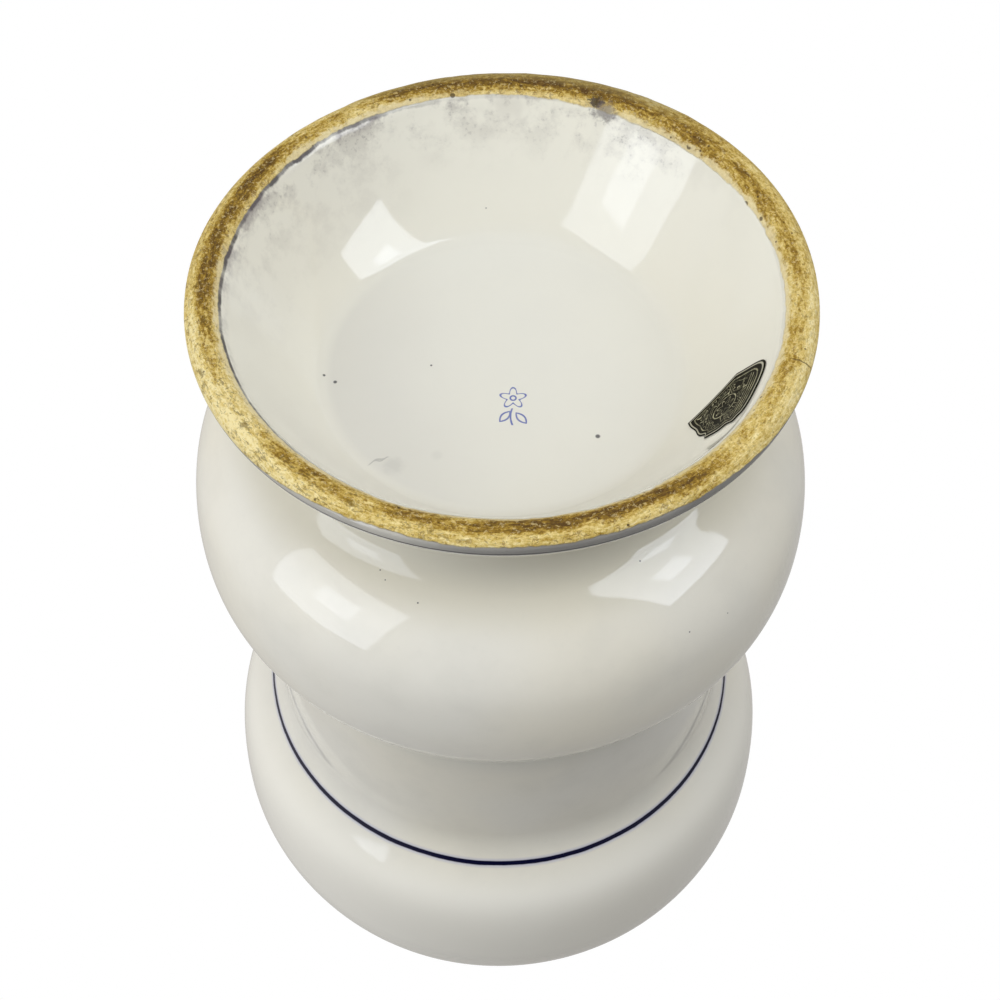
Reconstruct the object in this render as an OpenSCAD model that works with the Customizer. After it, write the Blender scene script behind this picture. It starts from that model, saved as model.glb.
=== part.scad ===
// Footed cookie jar with two bulges, a straight waist and a loose domed lid.
// Millimetres. +Z points up to the lid, and the origin is the centre of the foot
// on the surface that the jar stands on.

/* [Foot] */
// Outer diameter of the foot ring
foot_d = 132; // [128:1:136]
// Radius of the rounding on the ring's outer edge
foot_round = 2.9; // [2:0.1:3.4]
// Width of the bare clay ring, from its outer edge to the recess
ring_w = 7.2; // [6.6:0.1:8]
// Height of the recess floor above the surface the jar stands on
recess_h = 28; // [26:0.5:29]
// Diameter of the flat recess floor, where its slope would meet it
recess_floor_d = 78.4; // [76:0.2:79]
// Slope of the hollow recess wall at the ring, in degrees
recess_steep = 60.5; // [58:0.5:62]
// Slope of the recess wall where it meets the floor, in degrees
recess_flat = 41.5; // [40:0.5:44]
// Radius of the hollow corner around the recess floor
recess_fillet = 5; // [2:0.5:6]

/* [Body] */
// Diameter of the lower bulge
lower_d = 142.4; // [140:0.2:145]
// Height of the widest point of the lower bulge
lower_z = 68.2; // [67:0.2:70]
// Radius of the lower bulge's curve around its widest point
lower_crown = 58.5; // [55:0.5:62]
// Radius of the tighter curve that runs in under the lower bulge
lower_under = 28; // [27:0.5:29]
// Steepest lean of that underside, in degrees from upright
lower_lean = 62; // [60:0.5:63]
// Radius of the hollow neck between the bulge and the foot
neck_round = 9.5; // [8.5:0.1:10]
// Diameter of the straight waist
waist_d = 115.4; // [111:0.2:119]
// Height at which the waist becomes straight
waist_z = 103.4; // [101:0.2:107]
// Radius of the hollow corner between the waist and the upper bulge
waist_fillet = 17; // [14:0.5:18]
// Height of the painted line in that corner
line_z = 148.9; // [146:0.1:151]
// Diameter of the upper bulge
upper_d = 142.8; // [138:0.2:147]
// Height of the widest point of the upper bulge
upper_z = 182.1; // [180:0.1:184]
// Height of the rim that the lid rests on
body_h = 216; // [214:0.5:220]
// Thickness of the cast wall
wall = 5.5; // [4.5:0.1:6]

/* [Mouth] */
// Inner diameter of the mouth
mouth_d = 101; // [98:0.5:102]
// Width of the rim
rim_w = 5.4; // [5:0.1:6]

/* [Lid] */
// Outer diameter of the lid
lid_d = 114.4; // [112:0.2:116]
// Height of the dome above the rim, to the foot of the knob
dome_h = 25; // [22:0.5:28]
// Thickness of the dome
lid_wall = 5; // [4:0.1:6]
// Depth of the flange that hangs into the mouth
flange_h = 9; // [6:0.5:12]
// Gap between the flange and the mouth, all round
flange_gap = 0.9; // [0.6:0.1:1.4]
// Diameter of the knob
knob_d = 28; // [24:0.5:30]
// Height of the knob above the dome
knob_h = 23; // [21:0.5:26]

/* [Label] */
// Height of the shield-shaped foil label, down the recess wall
label_l = 22.8; // [18:0.2:23.6]
// Width of the foil label
label_w = 19; // [14:0.2:22]
// Thickness of the foil
label_t = 0.2; // [0.15:0.05:0.4]
// Bearing of the label around the axis, in degrees from +X
label_az = 204.5; // [0:0.5:359]
// Distance of the label's middle from the ring, down the recess wall
label_s = 13.2; // [13:0.1:15]

/* [Hidden] */
$fn = 120;

foot_r = foot_d / 2;
ring_r = foot_r - ring_w;          // edge of the recess
ring_z = 1.4;                      // height of that edge
lower_r = lower_d / 2;
waist_r = waist_d / 2;
upper_r = upper_d / 2;
mouth_r = mouth_d / 2;
rim_r = mouth_r + rim_w;
lid_r = lid_d / 2;
floor_r = recess_floor_d / 2;

// The recess wall is a shallow hollow curve: steep at the ring and flatter at the floor.
// wall_m is where its two end slopes would meet.
wall_a = [ring_r, ring_z];
wall_b = [floor_r, recess_h];
steep_dir = [-cos(recess_steep), sin(recess_steep)];   // from the ring, up into the recess
flat_dir = [cos(recess_flat), -sin(recess_flat)];      // from the floor, out and down
wall_gap = wall_b - wall_a;
wall_m = wall_a + steep_dir * (wall_gap[0] * flat_dir[1] - wall_gap[1] * flat_dir[0])
                            / (steep_dir[0] * flat_dir[1] - steep_dir[1] * flat_dir[0]);

// The corner above the waist is an arc that turns from straight up to line_tilt.
line_tilt = 54.4;
line_turn = 90 - line_tilt;
line_r = waist_r + waist_fillet * (1 - cos(line_turn));
waist_top = line_z - waist_fillet * sin(line_turn);

// The lower bulge is an arc around its widest point, then a tighter arc that runs in
// under it, a short straight slope, and the hollow arc of the neck.
crown_turn = 11;
slope_l = 1.8;
crown_m = [lower_r - lower_crown, lower_z];
under_m = crown_m + (lower_crown - lower_under) * [cos(crown_turn), -sin(crown_turn)];
slope_top = under_m + lower_under * [cos(lower_lean), -sin(lower_lean)];
slope_end = slope_top - slope_l * [sin(lower_lean), cos(lower_lean)];
neck_m = slope_end + neck_round * [cos(lower_lean), -sin(lower_lean)];
neck_r = neck_m[0] - neck_round;
neck_z = neck_m[1];

// A cubic curve as a row of points. skip leaves out its first point.
function cubic(a, b, c, d, n = 14, skip = 0) =
    [for (i = [skip : n]) let (t = i / n, u = 1 - t)
        u*u*u*a + 3*u*u*t*b + 3*u*t*t*c + t*t*t*d];
// An arc as a row of points, from one angle to another.
function arc(m, r, from, to, n = 8, skip = 0) =
    [for (i = [skip : n]) let (w = from + (to - from) * i / n) m + r * [cos(w), sin(w)]];
// A row of points moved sideways by w, to the left of its direction of travel.
function beside(p, w) =
    [for (i = [0 : len(p) - 1])
        let (t = p[min(i + 1, len(p) - 1)] - p[max(i - 1, 0)])
        p[i] + w * [-t[1], t[0]] / norm(t)];
function part_of(p, from, to) = [for (i = [from : to]) p[i]];

// ---- jar body, outside, from the ring up to the rim
lip = arc([foot_r - foot_round, foot_round], foot_round, -90, 0, 7);
flare = cubic([foot_r, foot_round], [foot_r, foot_round + 5.2],
              [neck_r, neck_z - 13], [neck_r, neck_z], 14, 1);
lower_rise = concat(
    arc(neck_m, neck_round, 180, 180 - lower_lean, 8, 1),
    arc(under_m, lower_under, -lower_lean, -crown_turn, 9),
    arc(crown_m, lower_crown, -crown_turn, 0, 5, 1));
lower_fall = cubic([lower_r, lower_z], [lower_r, lower_z + 20.7],
                   [waist_r, waist_z - 19], [waist_r, waist_z], 16, 1);
corner = arc([waist_r + waist_fillet, waist_top], waist_fillet, 180, 180 - line_turn, 6);
upper_rise = cubic([line_r, line_z],
                   [line_r + 10.4 * cos(line_tilt), line_z + 10.4 * sin(line_tilt)],
                   [upper_r, upper_z - 24.4], [upper_r, upper_z], 14, 1);
shoulder_end = [rim_r + 0.5, body_h - 4.5];
upper_fall = cubic([upper_r, upper_z], [upper_r, upper_z + 12.1],
                   [shoulder_end[0] + 9.2, shoulder_end[1] - 4.5], shoulder_end, 14, 1);
collar = concat([[rim_r, body_h - 3.2]],
                arc([rim_r - 1.1, body_h - 1.1], 1.1, 0, 90, 4));

// ---- jar body, inside: the cast wall follows the outside and the recess
skin = concat(part_of(lower_rise, 11, len(lower_rise) - 1), lower_fall, corner, upper_rise,
              part_of(upper_fall, 0, 9));
inner_skin = beside(skin, wall);
floor_z = recess_h + wall;
first = inner_skin[0];
first_dir = (inner_skin[1] - inner_skin[0]) / norm(inner_skin[1] - inner_skin[0]);
inner_floor = concat(
    [[0, floor_z]],
    cubic([floor_r, floor_z], [floor_r + 7, floor_z], first - 7 * first_dir, first, 10));
last = inner_skin[len(inner_skin) - 1];
last_dir = (last - inner_skin[len(inner_skin) - 2]) / norm(last - inner_skin[len(inner_skin) - 2]);
inner_mouth = concat(
    cubic(last, last + 4 * last_dir, [mouth_r, body_h - 10.5], [mouth_r, body_h - 6], 8, 1),
    arc([mouth_r + 1.1, body_h - 1.1], 1.1, 180, 90, 4));

// ---- jar body, underneath: the ring's inner bevel, the recess wall and its floor
back = recess_fillet * tan(recess_flat / 2);
fillet_m = [floor_r - back, recess_h - recess_fillet];
wall_top = wall_b + back * flat_dir;             // end of the corner
wall_foot = wall_a + 1.2 * steep_dir;            // start of the ring's bevel
function on_wall(t) = (1 - t) * (1 - t) * wall_top + 2 * t * (1 - t) * wall_m + t * t * wall_foot;
wall_row = [for (i = [0 : 12]) on_wall(i / 12)];
underside = concat(
    [[0, recess_h]],
    arc(fillet_m, recess_fillet, 90, 90 - recess_flat, 5),
    part_of(wall_row, 1, 12),
    cubic(wall_foot, wall_a, [ring_r + 1.0, 0], [ring_r + 2.5, 0], 6, 1));

// One half of the jar body's section
module body_section() {
    polygon(concat(underside, lip, flare, lower_rise, lower_fall, corner, upper_rise,
                   upper_fall, collar,
                   [for (i = [len(inner_mouth) - 1 : -1 : 0]) inner_mouth[i]],
                   [for (i = [len(inner_skin) - 1 : -1 : 0]) inner_skin[i]],
                   [for (i = [len(inner_floor) - 2 : -1 : 0]) inner_floor[i]]));
}

module jar_body() {
    color("#e9e7de") rotate_extrude() body_section();
}

// ---- lid: flange, lip, dome and knob in one piece
flange_r = mouth_r - flange_gap;
dome_top = [knob_d * 0.375, body_h + dome_h];
knob_m = [0, body_h + dome_h + knob_h * 0.58];
knob_r = knob_d / 2;
knob_neck = [knob_r * 0.52, body_h + dome_h + knob_h * 0.17];
knob_top = body_h + dome_h + knob_h;
lid_outside = concat(
    [[flange_r, body_h]],
    [[lid_r - 1.7, body_h]],
    arc([lid_r - 1.7, body_h + 1.7], 1.7, -90, 60, 8, 1),
    cubic([lid_r - 2.2, body_h + 4.4], [lid_r - 8.5, body_h + 14.8],
          [dome_top[0] + 19, dome_top[1] - 2.2], dome_top, 16),
    cubic(dome_top, dome_top + [-2.4, 0.3], [knob_neck[0], knob_neck[1] - 2], knob_neck, 6, 1),
    cubic(knob_neck, [knob_neck[0], knob_neck[1] + 3.4],
          [knob_r, knob_m[1] - 4.6], [knob_r, knob_m[1]], 8, 1),
    cubic([knob_r, knob_m[1]], [knob_r, knob_m[1] + 5.2],
          [knob_r * 0.62, knob_top], [0, knob_top], 10, 1));
lid_inside = concat(
    cubic([0, dome_top[1] - lid_wall - 0.6], [24, dome_top[1] - lid_wall - 0.6],
          [lid_r - 15.4, body_h + 9.4], [flange_r - 4.6, body_h - 1.5], 14),
    arc([flange_r - 3.0, body_h - flange_h + 1.2], 1.2, 180, 270, 4),
    arc([flange_r - 1.2, body_h - flange_h + 1.2], 1.2, 270, 360, 4));

module lid() {
    color("#e9e7de") rotate_extrude() polygon(concat(lid_inside, lid_outside));
}

// ---- shield-shaped label on the recess wall: square-shouldered at the ring, pointed at the floor
label_t0 = 1 - (label_s - 1.2) / norm(wall_foot - wall_top);
label_m = on_wall(label_t0);
label_way = on_wall(label_t0 - 0.01) - on_wall(label_t0 + 0.01);
lean = atan2(-label_way[1], label_way[0]);         // turns a flat outline into the wall's slope
glue_t = 0.06;                     // film of glue between the clay and the foil
shoulder_p = 5.5;                  // how square the shoulders are
point_p = 1.1;                     // how pointed the other end is
function curl(v, p) = sign(v) * pow(abs(v), 2 / p);
function shield(w) = let (p = cos(w) < 0 ? shoulder_p : point_p)
    [label_l / 2 * curl(cos(w), p), label_w / 2 * curl(sin(w), p)];
label_back = beside(part_of(wall_row, 1, 12), -glue_t);
label_front = beside(part_of(wall_row, 1, 12), -glue_t - label_t);
module foil_label() {
    color("#2a2415") intersection() {
        rotate_extrude()
            polygon(concat(label_back, [for (i = [len(label_front) - 1 : -1 : 0]) label_front[i]]));
        rotate([0, 0, label_az]) translate([label_m[0], 0, label_m[1]])
            rotate([0, lean, 0])
            translate([0, 0, -5]) linear_extrude(10)
            polygon([for (i = [0 : 71]) shield(i * 5)]);
    }
}

jar_body();
lid();
foil_label();
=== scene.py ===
import math

import bpy
import numpy as np
from mathutils import Matrix, Vector, noise


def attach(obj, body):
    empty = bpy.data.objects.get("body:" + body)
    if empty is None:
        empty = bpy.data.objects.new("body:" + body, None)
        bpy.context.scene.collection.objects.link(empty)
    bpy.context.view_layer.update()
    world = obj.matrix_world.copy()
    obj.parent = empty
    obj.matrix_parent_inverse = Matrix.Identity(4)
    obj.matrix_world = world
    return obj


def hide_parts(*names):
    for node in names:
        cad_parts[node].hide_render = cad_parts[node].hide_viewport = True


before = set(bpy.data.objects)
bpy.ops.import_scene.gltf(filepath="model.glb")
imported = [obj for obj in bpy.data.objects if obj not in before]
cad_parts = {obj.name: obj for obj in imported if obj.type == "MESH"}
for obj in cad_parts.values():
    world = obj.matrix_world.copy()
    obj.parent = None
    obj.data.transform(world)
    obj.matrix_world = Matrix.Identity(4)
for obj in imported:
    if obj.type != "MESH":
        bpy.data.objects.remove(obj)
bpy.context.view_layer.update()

MM = 0.001
scene = bpy.context.scene
scene.view_settings.view_transform = "Standard"
scene.view_settings.look = "None"
scene.view_settings.exposure = 0.0
scene.view_settings.gamma = 1.0

# ---------------------------------------------------------------- levels of the studio light
WORLD_LOW = 0.20      # light from below, on the foot
WORLD_HIGH = 0.48     # light from above
WORLD_FRONT = 0.01    # light from -Y
WORLD_BACK = 0.64     # light from +Y
WORLD_PLUS = 0.67     # light from +X
WORLD_MINUS = 0.29    # light from -X
LEFT_BOX = 2.5        # radiance of the softbox on the +X side
LEFT_CORE = 1.9       # more from the middle of it, where its lamp is
RIGHT_BOX = 2.4       # radiance of the softbox on the -X side
RIGHT_CORE = 2.6
RIGHT_SHINE = 1.6     # what that softbox adds in the gloss of the glaze only
FOOT_BOX = 4.2        # radiance of the softbox that faces the foot
TOP_BOX = 2.4         # radiance of the overhead softbox


# ---------------------------------------------------------------- profile curves, in mm (r, z)
def cubic(a, b, c, d, n, skip=0):
    a, b, c, d = (np.array(p, float) for p in (a, b, c, d))
    return [tuple(u**3 * a + 3 * u * u * t * b + 3 * u * t * t * c + t**3 * d)
            for t, u in ((i / n, 1 - i / n) for i in range(skip, n + 1))]


def arc(m, radius, start, end, n, skip=0):
    out = []
    for i in range(skip, n + 1):
        w = math.radians(start + (end - start) * i / n)
        out.append((m[0] + radius * math.cos(w), m[1] + radius * math.sin(w)))
    return out


def straight(a, b, n, skip=0):
    return [(a[0] + (b[0] - a[0]) * i / n, a[1] + (b[1] - a[1]) * i / n) for i in range(skip, n + 1)]


def beside(p, w):
    out = []
    for i in range(len(p)):
        a, b = np.array(p[max(i - 1, 0)]), np.array(p[min(i + 1, len(p) - 1)])
        t = (b - a) / np.linalg.norm(b - a)
        out.append((p[i][0] - w * t[1], p[i][1] + w * t[0]))
    return out


# The jar's driving sizes, as on the CAD part
FOOT_R, FOOT_ROUND, RING_R, RING_Z = 66.0, 2.9, 58.8, 1.4
RECESS_H, FLOOR_R, RECESS_FILLET = 28.0, 39.2, 5.0
RECESS_STEEP, RECESS_FLAT = 60.5, 41.5
LOWER_R, LOWER_Z, LOWER_CROWN, LOWER_UNDER, LOWER_LEAN = 71.2, 68.2, 58.5, 28.0, 62.0
CROWN_TURN, SLOPE_L, NECK_ROUND = 11.0, 1.8, 9.5
WAIST_R, WAIST_Z, WAIST_FILLET, LINE_TILT, LINE_Z = 57.7, 103.4, 17.0, 54.4, 148.9
UPPER_R, UPPER_Z, BODY_H, WALL = 71.4, 182.1, 216.0, 5.5
MOUTH_R, RIM_R = 50.5, 55.9
LID_R, DOME_H, LID_WALL, FLANGE_H, FLANGE_GAP = 57.2, 25.0, 5.0, 9.0, 0.9
KNOB_R, KNOB_H = 14.0, 23.0

line_turn = 90 - LINE_TILT
LINE_R = WAIST_R + WAIST_FILLET * (1 - math.cos(math.radians(line_turn)))
waist_top = LINE_Z - WAIST_FILLET * math.sin(math.radians(line_turn))


def polar(radius, degrees):
    return np.array((radius * math.cos(math.radians(degrees)), radius * math.sin(math.radians(degrees))))


# the recess wall: a shallow hollow curve between its two end slopes
wall_a, wall_b = np.array((RING_R, RING_Z)), np.array((FLOOR_R, RECESS_H))
steep_dir, flat_dir = polar(1, 180 - RECESS_STEEP), polar(1, -RECESS_FLAT)
wall_gap = wall_b - wall_a
wall_m = wall_a + steep_dir * (wall_gap[0] * flat_dir[1] - wall_gap[1] * flat_dir[0]) / \
    (steep_dir[0] * flat_dir[1] - steep_dir[1] * flat_dir[0])
back = RECESS_FILLET * math.tan(math.radians(RECESS_FLAT / 2))
fillet_m = (FLOOR_R - back, RECESS_H - RECESS_FILLET)
wall_top, wall_foot = wall_b + back * flat_dir, wall_a + 1.2 * steep_dir


def wall_at(t):
    return (1 - t) * (1 - t) * wall_top + 2 * t * (1 - t) * wall_m + t * t * wall_foot


crown_m = np.array((LOWER_R - LOWER_CROWN, LOWER_Z))
under_m = crown_m + polar(LOWER_CROWN - LOWER_UNDER, -CROWN_TURN)
slope_top = under_m + polar(LOWER_UNDER, -LOWER_LEAN)
slope_end = slope_top - SLOPE_L * np.array((math.sin(math.radians(LOWER_LEAN)), math.cos(math.radians(LOWER_LEAN))))
neck_m = slope_end + polar(NECK_ROUND, -LOWER_LEAN)
neck_r, neck_z = neck_m[0] - NECK_ROUND, neck_m[1]

# underneath: floor, hollow corner, recess wall, inner bevel of the ring
underside = (
    straight((0, RECESS_H), (fillet_m[0], RECESS_H), 16)
    + arc(fillet_m, RECESS_FILLET, 90, 90 - RECESS_FLAT, 14, 1)
    + [tuple(wall_at(i / 22)) for i in range(1, 20)]
    + [tuple(wall_at((19 + i / 3) / 22)) for i in range(1, 10)]
    + cubic(wall_foot, wall_a, (RING_R + 1.0, 0), (RING_R + 2.5, 0), 14, 1)
    + straight((RING_R + 2.5, 0), (FOOT_R - FOOT_ROUND, 0), 5, 1)
)
lip = arc((FOOT_R - FOOT_ROUND, FOOT_ROUND), FOOT_ROUND, -90, 0, 16, 1)
flare = cubic((FOOT_R, FOOT_ROUND), (FOOT_R, FOOT_ROUND + 5.2), (neck_r, neck_z - 13), (neck_r, neck_z), 26, 1)
lower_rise = (
    arc(neck_m, NECK_ROUND, 180, 180 - LOWER_LEAN, 14, 1)
    + arc(under_m, LOWER_UNDER, -LOWER_LEAN, -CROWN_TURN, 22)
    + arc(crown_m, LOWER_CROWN, -CROWN_TURN, 0, 9, 1)
)
lower_fall = cubic((LOWER_R, LOWER_Z), (LOWER_R, LOWER_Z + 20.7), (WAIST_R, WAIST_Z - 19), (WAIST_R, WAIST_Z), 32, 1)
waist = straight((WAIST_R, WAIST_Z), (WAIST_R, waist_top), 16, 1)
corner = arc((WAIST_R + WAIST_FILLET, waist_top), WAIST_FILLET, 180, 180 - line_turn, 14, 1)
tilt = math.radians(LINE_TILT)
upper_rise = cubic((LINE_R, LINE_Z), (LINE_R + 10.4 * math.cos(tilt), LINE_Z + 10.4 * math.sin(tilt)),
                   (UPPER_R, UPPER_Z - 24.4), (UPPER_R, UPPER_Z), 28, 1)
shoulder_end = (RIM_R + 0.5, BODY_H - 4.5)
upper_fall = cubic((UPPER_R, UPPER_Z), (UPPER_R, UPPER_Z + 12.1),
                   (shoulder_end[0] + 9.2, shoulder_end[1] - 4.5), shoulder_end, 30, 1)
collar = [(RIM_R + 0.12, BODY_H - 3.9), (RIM_R, BODY_H - 3.2), (RIM_R, BODY_H - 2.0)] + \
    arc((RIM_R - 1.1, BODY_H - 1.1), 1.1, 0, 90, 6)

# inside: the wall follows the outside
outer_for_inside = arc(under_m, LOWER_UNDER, -LOWER_LEAN + 8, -CROWN_TURN, 8) + \
    arc(crown_m, LOWER_CROWN, -CROWN_TURN, 0, 5, 1) + \
    cubic((LOWER_R, LOWER_Z), (LOWER_R, LOWER_Z + 20.7), (WAIST_R, WAIST_Z - 19), (WAIST_R, WAIST_Z), 16, 1) + \
    arc((WAIST_R + WAIST_FILLET, waist_top), WAIST_FILLET, 180, 180 - line_turn, 6) + \
    cubic((LINE_R, LINE_Z), (LINE_R + 10.4 * math.cos(tilt), LINE_Z + 10.4 * math.sin(tilt)),
          (UPPER_R, UPPER_Z - 24.4), (UPPER_R, UPPER_Z), 14, 1) + \
    cubic((UPPER_R, UPPER_Z), (UPPER_R, UPPER_Z + 12.1),
          (shoulder_end[0] + 9.2, shoulder_end[1] - 4.5), shoulder_end, 14, 1)[:10]
inner_skin = beside(outer_for_inside, WALL)
first, last = np.array(inner_skin[0]), np.array(inner_skin[-1])
first_dir = np.array(inner_skin[1]) - first
first_dir /= np.linalg.norm(first_dir)
last_dir = last - np.array(inner_skin[-2])
last_dir /= np.linalg.norm(last_dir)
floor_z = RECESS_H + WALL
inner_floor = straight((0, floor_z), (FLOOR_R, floor_z), 10) + \
    cubic((FLOOR_R, floor_z), (FLOOR_R + 7, floor_z), first - 7 * first_dir, first, 10, 1)
inner_mouth = cubic(last, last + 4 * last_dir, (MOUTH_R, BODY_H - 10.5), (MOUTH_R, BODY_H - 6), 10, 1) + \
    straight((MOUTH_R, BODY_H - 6), (MOUTH_R, BODY_H - 1.1), 3, 1) + \
    arc((MOUTH_R + 1.1, BODY_H - 1.1), 1.1, 180, 90, 6, 1)

jar_profile = underside + lip + flare + lower_rise + lower_fall + waist + corner + upper_rise + upper_fall + collar
jar_profile += list(reversed(inner_mouth)) + list(reversed(inner_skin)) + list(reversed(inner_floor))[1:]

# the lid: inside from the middle out, flange, lip, dome, knob
flange_r = MOUTH_R - FLANGE_GAP
dome_top = (KNOB_R * 0.75, BODY_H + DOME_H)
knob_mid = BODY_H + DOME_H + KNOB_H * 0.58
knob_neck = (KNOB_R * 0.52, BODY_H + DOME_H + KNOB_H * 0.17)
knob_top = BODY_H + DOME_H + KNOB_H
lid_profile = (
    cubic((0, dome_top[1] - LID_WALL - 0.6), (24, dome_top[1] - LID_WALL - 0.6),
          (LID_R - 15.4, BODY_H + 9.4), (flange_r - 4.6, BODY_H - 1.5), 26)
    + straight((flange_r - 4.6, BODY_H - 1.5), (flange_r - 4.2, BODY_H - FLANGE_H + 1.2), 5, 1)
    + arc((flange_r - 3.0, BODY_H - FLANGE_H + 1.2), 1.2, 180, 270, 6, 1)
    + straight((flange_r - 3.0, BODY_H - FLANGE_H), (flange_r - 1.2, BODY_H - FLANGE_H), 3, 1)
    + arc((flange_r - 1.2, BODY_H - FLANGE_H + 1.2), 1.2, 270, 360, 6, 1)
    + straight((flange_r, BODY_H - FLANGE_H + 1.2), (flange_r, BODY_H - 0.5), 5, 1)
    + arc((flange_r + 0.5, BODY_H - 0.5), 0.5, 180, 90, 4, 1)
    + straight((flange_r + 0.5, BODY_H), (LID_R - 1.7, BODY_H), 5, 1)
    + arc((LID_R - 1.7, BODY_H + 1.7), 1.7, -90, 60, 12, 1)
    + cubic((LID_R - 1.05, BODY_H + 3.55), (LID_R - 8.5, BODY_H + 14.8),
            (dome_top[0] + 19, dome_top[1] - 2.2), dome_top, 36)
    + cubic(dome_top, (dome_top[0] - 2.4, dome_top[1] + 0.3), (knob_neck[0], knob_neck[1] - 2), knob_neck, 10, 1)
    + cubic(knob_neck, (knob_neck[0], knob_neck[1] + 3.4), (KNOB_R, knob_mid - 4.6), (KNOB_R, knob_mid), 14, 1)
    + cubic((KNOB_R, knob_mid), (KNOB_R, knob_mid + 5.2), (KNOB_R * 0.62, knob_top), (0, knob_top), 18, 1)
)


# ---------------------------------------------------------------- meshes
def lathe(name, profile, segments, shape, warp=None):
    """Turns a profile that starts and ends on the axis. shape gives a push along the normal in mm, warp moves points."""
    p = np.array(profile, float)
    tangent = np.zeros_like(p)
    tangent[1:-1] = p[2:] - p[:-2]
    tangent[0], tangent[-1] = p[1] - p[0], p[-1] - p[-2]
    tangent /= np.linalg.norm(tangent, axis=1)[:, None]
    side = np.c_[tangent[:, 1], -tangent[:, 0]]  # out of the clay, because the profile runs with the clay on its left
    w = np.linspace(0, 2 * math.pi, segments, endpoint=False)
    c, s = np.cos(w), np.sin(w)
    mid, mid_side = p[1:-1], side[1:-1]
    co = np.stack([mid[:, :1] * c, mid[:, :1] * s, np.repeat(mid[:, 1:], segments, 1)], -1).reshape(-1, 3)
    no = np.stack([mid_side[:, :1] * c, mid_side[:, :1] * s, np.repeat(mid_side[:, 1:], segments, 1)], -1).reshape(-1, 3)
    co = co + no * shape(co)[:, None]
    if warp is not None:
        co = warp(co)
    ends = np.array([(0, 0, p[0, 1]), (0, 0, p[-1, 1])])
    verts = np.vstack([ends, co]) * MM
    rows = len(mid)
    faces = []
    for i in range(rows - 1):
        a, b = 2 + i * segments, 2 + (i + 1) * segments
        for j in range(segments):
            k = (j + 1) % segments
            faces.append((a + j, a + k, b + k, b + j))
    low, high = 2, 2 + (rows - 1) * segments
    for j in range(segments):
        k = (j + 1) % segments
        faces.append((0, low + k, low + j))
        faces.append((1, high + j, high + k))
    mesh = bpy.data.meshes.new(name)
    mesh.from_pydata([tuple(v) for v in verts], [], faces)
    mesh.polygons.foreach_set("use_smooth", [True] * len(mesh.polygons))
    mesh.validate()
    mesh.update()
    obj = bpy.data.objects.new(name, mesh)
    scene.collection.objects.link(obj)
    return obj


def field(co, scale, seed, octaves=1):
    """Smooth noise from about -1 to 1 at each point, with features of about scale mm."""
    shift = Vector((seed * 7.31, seed * 3.17, seed * 5.03))
    if octaves == 1:
        return np.array([noise.noise(Vector(v) / scale + shift) for v in co])
    return np.array([noise.fractal(Vector(v) / scale + shift, 1.0, 2.0, octaves) for v in co])


def smooth(x, lo, hi):
    t = np.clip((x - lo) / (hi - lo), 0, 1)
    return t * t * (3 - 2 * t)


def jar_shape(co):
    """The cast body is never quite true: a slow unevenness all over, and a worn, pitted foot ring."""
    r = np.hypot(co[:, 0], co[:, 1])
    z = co[:, 2]
    push = 0.05 * field(co, 46, 1) - 0.05
    inside_recess = (z < 28.2) & (r < 59.0)
    push += np.where(inside_recess, 0.05 * field(co, 30, 2), 0.0)
    # bare ring: lower than the glaze around it by the thickness of the glaze, with dents and small chips
    ring = (z < 4.5) & (r > 57.0)
    wobble = 0.22 * field(np.c_[co[:, 0], co[:, 1], 0 * z], 9, 4)
    bare = ring * smooth(r + wobble, RING_R - 0.25, RING_R + 0.25) * (1 - smooth(z + 0.3 * wobble, 1.3, 1.9))
    dents = np.zeros(len(co))
    idx = np.where(ring)[0]
    dents[idx] = 0.10 * field(co[idx], 5.0, 5, 3) + 0.05 * field(co[idx], 2.2, 6)
    push += bare * (-0.16 + dents)
    # the glaze is drawn up into a low bead along its edge
    bead = np.exp(-((r + wobble - (RING_R - 0.75)) / 0.55) ** 2) * (z < 4.5) * (r < RING_R + 0.2)
    push += 0.10 * bead
    # nothing stands proud of the standing surface
    return np.where((z < 0.6) & (r > RING_R), np.minimum(push, -0.01), push)


def jar_warp(co):
    """The foot came out of the kiln a little out of round."""
    az = np.degrees(np.arctan2(co[:, 1], co[:, 0]))

    def bump(at, width):
        d = np.abs((az - at + 180) % 360 - 180)
        return np.where(d < width, np.cos(np.radians(90) * np.minimum(d, width) / width) ** 2, 0)

    grow = (0.95 * bump(133, 58) - 0.55 * bump(48, 44)) * smooth(-co[:, 2], -24, -3)
    r = np.hypot(co[:, 0], co[:, 1])
    grow = grow * smooth(r, 30, 55)
    k = 1 + grow / np.maximum(r, 1)
    return np.c_[co[:, 0] * k, co[:, 1] * k, co[:, 2]]


def lid_shape(co):
    return 0.04 * field(co, 38, 11) - 0.04


jar = lathe("jar_body_glazed", jar_profile, 244, jar_shape, jar_warp)
lid = lathe("lid_glazed", lid_profile, 224, lid_shape)

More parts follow.
